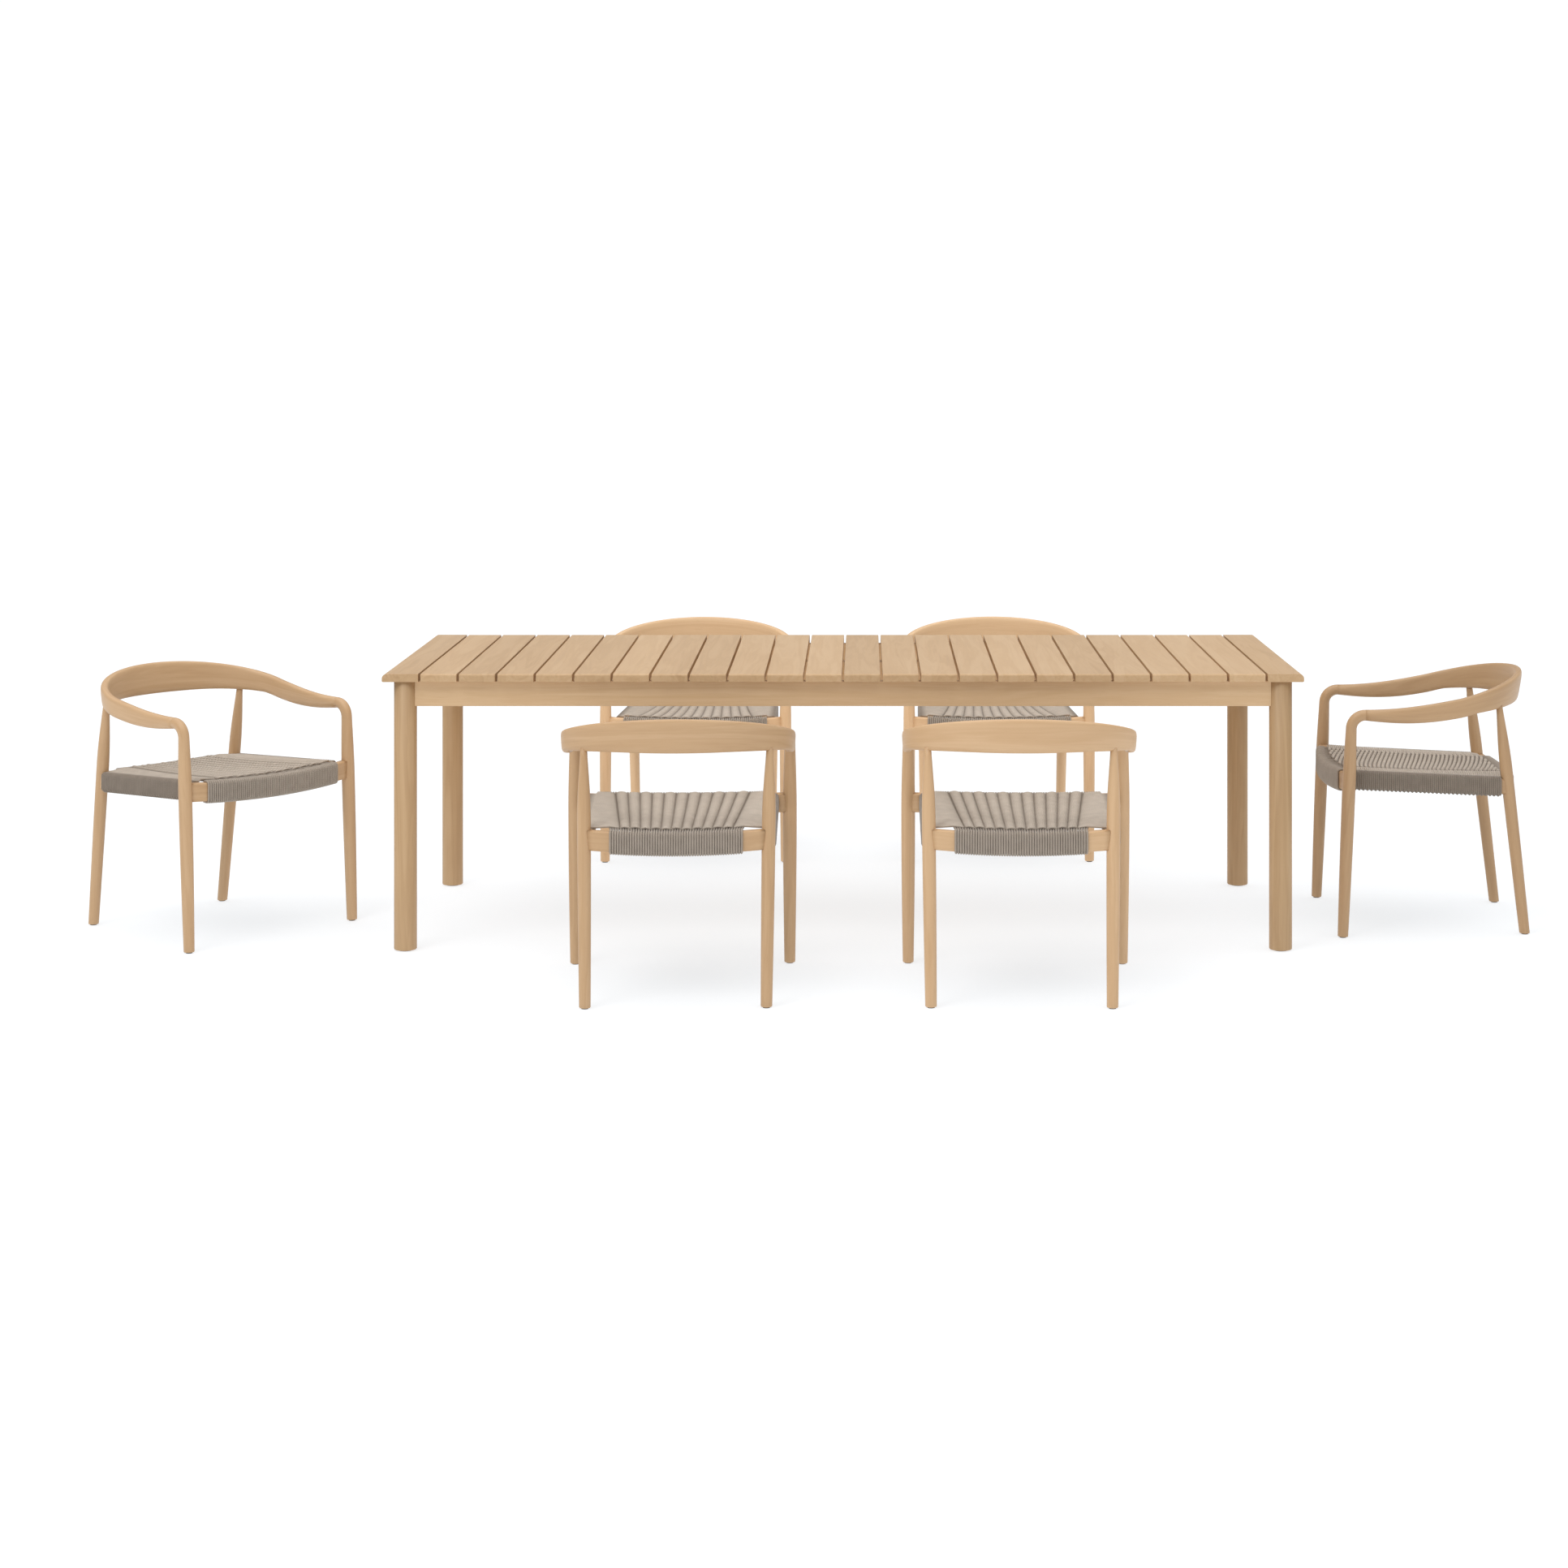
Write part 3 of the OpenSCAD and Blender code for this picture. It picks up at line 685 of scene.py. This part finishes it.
# the height of the warps' middle lines over the seat
def warpHeight(x, t, s):
    back = railSettings["backZ"] + railSettings["tall"] / 2 + s["cordR"]
    front = railSettings["frontZ"] + railSettings["tall"] / 2 + s["cordR"]
    half = mixed(railBackX, legSettings["frontX"], t)
    dip = mixed(railSettings["backDip"], railSettings["frontDip"], t)
    dip += s["sag"] * math.sin(math.pi * min(1, max(0, t)))
    return mixed(back, front, t) - dip * bowShare(x, half)


# one cross cord: round the left side rail, over and under the groups, round the right one;
# each of its points is (place, thickness, width, painted light), the last 0 where the cord is painted in
# full groove shade
def weftPath(index, way, s):
    back, front = sideRailAxis(1)
    ahead = (front - back).normalized()
    middle = back + ahead * way
    t = way / (front - back).length
    bow = mixed(s["backBow"], s["frontBow"], t)
    outward = Vector((ahead.y, -ahead.x, 0)).normalized()
    drop = s["drop"] * (index % 2)
    winding = [middle + outward * out + Vector((0, 0, up)) for out, up in
               windingPoints(railSettings["thick"] / 2, railSettings["sideTall"] / 2, s, drop)]

    def onDeck(x, z):
        return Vector((x, middle.y + bow * (1 - abs(x / middle.x) ** s["bowPower"]), z))

    railX = middle.x - railSettings["thick"] / 2 + s["lip"]
    railTop = middle.z + railSettings["sideTall"] / 2 + s["cordR"]
    edges = [groupEdge(k, t, s) for k in range(s["groups"] + 1)]
    deck = []
    for k in range(s["groups"]):
        atSide = k in (0, s["groups"] - 1)
        over = atSide or (k + index) % 2
        for step in range(s["steps"]):
            u = step / s["steps"]
            x = mixed(edges[k], edges[k + 1], u)
            # the side parts lie level and fall away only at their inner edges
            if atSide:
                wave = (math.cos(math.pi / 2 * u) if k == 0 else math.sin(math.pi / 2 * u)) ** 0.35
                swollen, lift = 0, wave * s["edgeRise"]
            else:
                wave = math.sin(math.pi * u) ** 0.7
                swollen, lift = wave, wave * s["rise"] * (1 if over else -1)
            # painted light: cords that rise over a group are painted lighter towards their tops, and
            # cords that pass under are painted in full shade
            deck.append((onDeck(x, warpHeight(x, t, s) + lift), 1 + s["fatter"] * swollen,
                         1 + s["wider"] * swollen, wave ** 0.5 if over else 0))
    deck.append((onDeck(edges[-1], warpHeight(edges[-1], t, s) + s["edgeRise"]), 1, 1, 1))
    # painted shade: the windings round the side rails are painted darker
    left = [(Vector((-p.x, p.y, p.z)), 1, 1, s["sidePaintedLight"]) for p in winding]
    right = [(p, 1, 1, s["sidePaintedLight"]) for p in reversed(winding)]
    return (left + [(onDeck(-railX, railTop), 1, 1, 1)] + deck
            + [(onDeck(railX, railTop), 1, 1, 1)] + right)


# the windings' places on the front rail, and which of them run on to the back rail
def frontSlots(s):
    count = round(2 * s["frontHalf"] / (s["slotPitch"] * s["cordR"]))
    pitch = 2 * s["frontHalf"] / count
    slots = [-s["frontHalf"] + pitch * (k + 0.5) for k in range(count)]
    taken = []
    for k in range(s["groups"]):
        middle = mixed(groupEdge(k, 1, s), groupEdge(k + 1, 1, s), 0.5)
        near = sorted((x for x in slots if x not in taken), key=lambda x: abs(x - middle))
        taken.extend(sorted(near[:s["inGroup"]]))
    return slots, taken


def railWinding(x, middleAt, facing, s):
    middle = middleAt(x)
    step = (middleAt(x + 0.001) - middleAt(x - 0.001)).normalized()
    outward = Vector((-step.y, step.x, 0)).normalized() * facing
    points = windingPoints(railSettings["thick"] / 2, railSettings["tall"] / 2, s)
    return [middle + outward * out + Vector((0, 0, up)) for out, up in points]


def warpPath(backX, frontX, s):
    back = railWinding(backX, backRailMiddle, -1, s)
    front = railWinding(frontX, frontRailMiddle, 1, s)
    start, end = back[-1], front[-1]
    deck = []
    for k in range(1, s["warpSteps"]):
        u = k / s["warpSteps"]
        point = start.lerp(end, u)
        t = (point.y - railBackY) / (railFrontY - railBackY)
        # the line leaves the rails level with their tops
        share = math.sin(math.pi * u) ** 0.5
        point.z = mixed(point.z, warpHeight(point.x, t, s), share)
        deck.append(point)
    # painted shade: the windings round the rails are painted a little darker, and the long cords lying
    # under the deck's cross cords much darker
    return ([(point, 1, 1, s["railPaintedLight"]) for point in back]
            + [(point, 1, 1, s["deckPaintedLight"]) for point in deck]
            + [(point, 1, 1, s["railPaintedLight"]) for point in reversed(front)])


# many cords in one mesh, six-sided, with the twine and the painted light of each point
def cordMesh(name, lines, cordR):
    curve = bpy.data.curves.new(name, "CURVE")
    curve.dimensions = "3D"
    curve.bevel_depth = cordR
    curve.bevel_resolution = 1
    for line in lines:
        spline = curve.splines.new("POLY")
        spline.points.add(len(line) - 1)
        for knot, (point, thick, _, _) in zip(spline.points, line):
            knot.co = (*point, 1)
            knot.radius = thick
    holder = bpy.data.objects.new(name, curve)
    scene.collection.objects.link(holder)
    graph = bpy.context.evaluated_depsgraph_get()
    mesh = bpy.data.meshes.new_from_object(holder.evaluated_get(graph))
    bpy.data.objects.remove(holder)
    bpy.data.curves.remove(curve)
    sides = len(mesh.vertices) // sum(len(line) for line in lines)
    mesh.attributes.new("twine", "FLOAT_VECTOR", "POINT")
    mesh.attributes.new("crest", "FLOAT", "POINT")
    twine, crest = mesh.attributes["twine"], mesh.attributes["crest"]
    index = 0
    for line in lines:
        way = seeds.uniform(0, 1)
        for k, (point, _, wide, paintedLightLevel) in enumerate(line):
            way += (point - line[k - 1][0]).length if k else 0
            for side in range(sides):
                turn = 2 * math.pi * side / sides
                twine.data[index].vector = (way, math.cos(turn), math.sin(turn))
                # the point's painted light, which darkens the colour where the cord lies low
                crest.data[index].value = paintedLightLevel
                # a cord pressed flat spreads over its neighbours
                place = mesh.vertices[index].co
                place.y = point.y + (place.y - point.y) * wide
                index += 1
    bm = bmesh.new()
    bm.from_mesh(mesh)
    bpy.data.meshes.remove(mesh)
    bmesh.ops.holes_fill(bm, edges=[e for e in bm.edges if e.is_boundary], sides=sides)
    return toMesh(bm, name)


def seatMeshes(s):
    back, front = sideRailAxis(1)
    length = (front - back).length - s["backGap"] - s["frontGap"]
    count = round(length / s["sidePitch"])
    wefts = [weftPath(k, s["backGap"] + length * k / (count - 1), s) for k in range(count)]
    slots, taken = frontSlots(s)
    warpCount = s["groups"] * s["inGroup"]
    warps = []
    for k, frontX in enumerate(taken):
        backX = -s["backHalf"] + 2 * s["backHalf"] * (k + 0.5) / warpCount
        warps.append(warpPath(backX, frontX, s))
    # the other turns on the front rail go straight back down its inner face
    for x in slots:
        if x not in taken:
            line = railWinding(x, frontRailMiddle, 1, s)
            for step in ((0, -0.012, 0), (0, -0.004, -0.008), (0, 0, -0.02)):
                line.append(line[-1] + Vector(step))
            # painted shade, as on the other rail windings
            warps.append([(point, 1, 1, s["railPaintedLight"]) for point in line])
    return {"cross_cords": cordMesh("cross_cords", wefts, s["cordR"]),
            "long_cords": cordMesh("long_cords", warps, s["cordR"])}


frameMeshes = chairFrameMeshes()
cordMeshes = seatMeshes(weaveSettings)
print("chair made once")


def chairPlace(name):
    axis = next(j["axis"] for j in frame["record"]["behaviour"]["joints"]
                if j["name"] == name + "_chair_slide")
    yaw = math.atan2(-axis[0], axis[1])
    turn = Matrix.Rotation(yaw, 4, "Z")
    feet = [turn @ Vector((side * x, y, 0)) for side in (-1, 1)
            for x, y in ((legSettings["frontX"], legSettings["feetY"]),
                         (legSettings["backX"], -legSettings["feetY"]))]
    spread = [(min(f[k] for f in feet) + max(f[k] for f in feet)) / 2 for k in range(2)]
    middle = middleOf(name + "_glides")
    return Matrix.Translation((middle.x - spread[0], middle.y - spread[1], 0)) @ turn


# a copy of a mesh in its place, with its own stretch of grain and its chair's painted light added to its
# tone
def placedCopy(source, place, name, level):
    mesh = source.copy()
    mesh.name = name
    mesh.transform(place)
    if "grain" in mesh.attributes:
        shift = Vector([seeds.uniform(-9, 9) for _ in range(3)])
        for point in mesh.attributes["grain"].data:
            point.vector = Vector(point.vector) + shift
        # painted light: the chair's level makes all its wood paler or darker
        for point in mesh.attributes["tone"].data:
            point.value += level
    return mesh


for name, level in chairPaintedLight.items():
    place = chairPlace(name)
    body = name + "_chair"
    for kind, source in frameMeshes.items():
        node = name + "_" + kind
        addPiece(node + "_wood", placedCopy(source, place, node, level), chairWood, body,
                 [node], flatFaces=kind.endswith("rails"))
    for kind, source in cordMeshes.items():
        node = name + "_" + kind
        addPiece(node, placedCopy(source, place, node, level), seatCord, body,
                 [name + "_seat_cord"])
print("six chairs placed")

finishOf = {"leg_bolts": steel, "slat_screws": steel, "corner_blocks": innerWood,
            "table_glides": glidePlastic}
for name in chairPaintedLight:
    finishOf[name + "_glides"] = glidePlastic
    finishOf[name + "_dowels"] = innerWood
for node, finish in finishOf.items():
    piece = frame["nodes"][node]
    if not piece.material_slots:
        piece.data.materials.append(finish)
    for holder in piece.material_slots:
        holder.material = finish

lightSettings = {"key": 190.0, "keySize": 4.0, "keyPlace": (-3.5, -5.0, 7.5),
                 "floor": (0.33, 0.33, 0.33), "speck": (0.35, 0.35, 0.35), "floorHalf": 60,
                 "glow": 0.70, "glowColour": (0.985, 1.015, 1.045, 1),
                 "sky": [(0.0, (1.02, 1.02, 1.02)), (0.13, (1.02, 1.02, 1.02)),
                         (0.22, (0.3, 0.3, 0.3)), (0.55, (0.34, 0.34, 0.34)),
                         (0.8, (1.35, 1.35, 1.35)), (1.0, (2.1, 2.1, 2.1))]}


# a pale floor, lit from within a little so that shadows on it stay faint
def makeFloor(settings):
    bm = bmesh.new()
    bmesh.ops.create_grid(bm, x_segments=1, y_segments=1, size=settings["floorHalf"])
    mesh = toMesh(bm, "floor")
    material, wire = startFinish("floor")
    place = wire.node("ShaderNodeTexCoord", {}, out="Object")
    speck = noise(wire, place, 3, 2)
    colour = mixColours(wire, speck, (*settings["floor"], 1), (*settings["speck"], 1))
    endFinish(wire, colour, speck * 0.05 + 0.9, speck,
              {"Specular IOR Level": 0.1, "Emission Color": settings["glowColour"],
               "Emission Strength": settings["glow"]}, bump=0.0)
    mesh.materials.append(material)
    floor = bpy.data.objects.new("floor", mesh)
    scene.collection.objects.link(floor)


def makeLight(settings):
    world = bpy.data.worlds.new("soft_white")
    world.use_nodes = True
    scene.world = world
    # white at the horizon, dimmer above it and bright again overhead
    wire = Wire(world.node_tree)
    way = wire.node("ShaderNodeTexCoord", {}, out="Generated")
    rise = wire.node("ShaderNodeSeparateXYZ", {}, {"Vector": way}, out="Z")
    sky = wire.node("ShaderNodeValToRGB", {"stops": settings["sky"]}, {"Fac": rise})
    background = world.node_tree.nodes["Background"]
    world.node_tree.links.new(sky.socket, background.inputs["Color"])
    lamp = bpy.data.lights.new("key", "AREA")
    lamp.shape = "DISK"
    lamp.size = settings["keySize"]
    lamp.energy = settings["key"]
    key = bpy.data.objects.new("key", lamp)
    key.location = settings["keyPlace"]
    aim = Vector((0, 0, 0.4)) - key.location
    key.rotation_euler = aim.to_track_quat("-Z", "Y").to_euler()
    scene.collection.objects.link(key)


makeFloor(lightSettings)
makeLight(lightSettings)
scene.view_settings.view_transform = "Standard"
print("floor and light made")
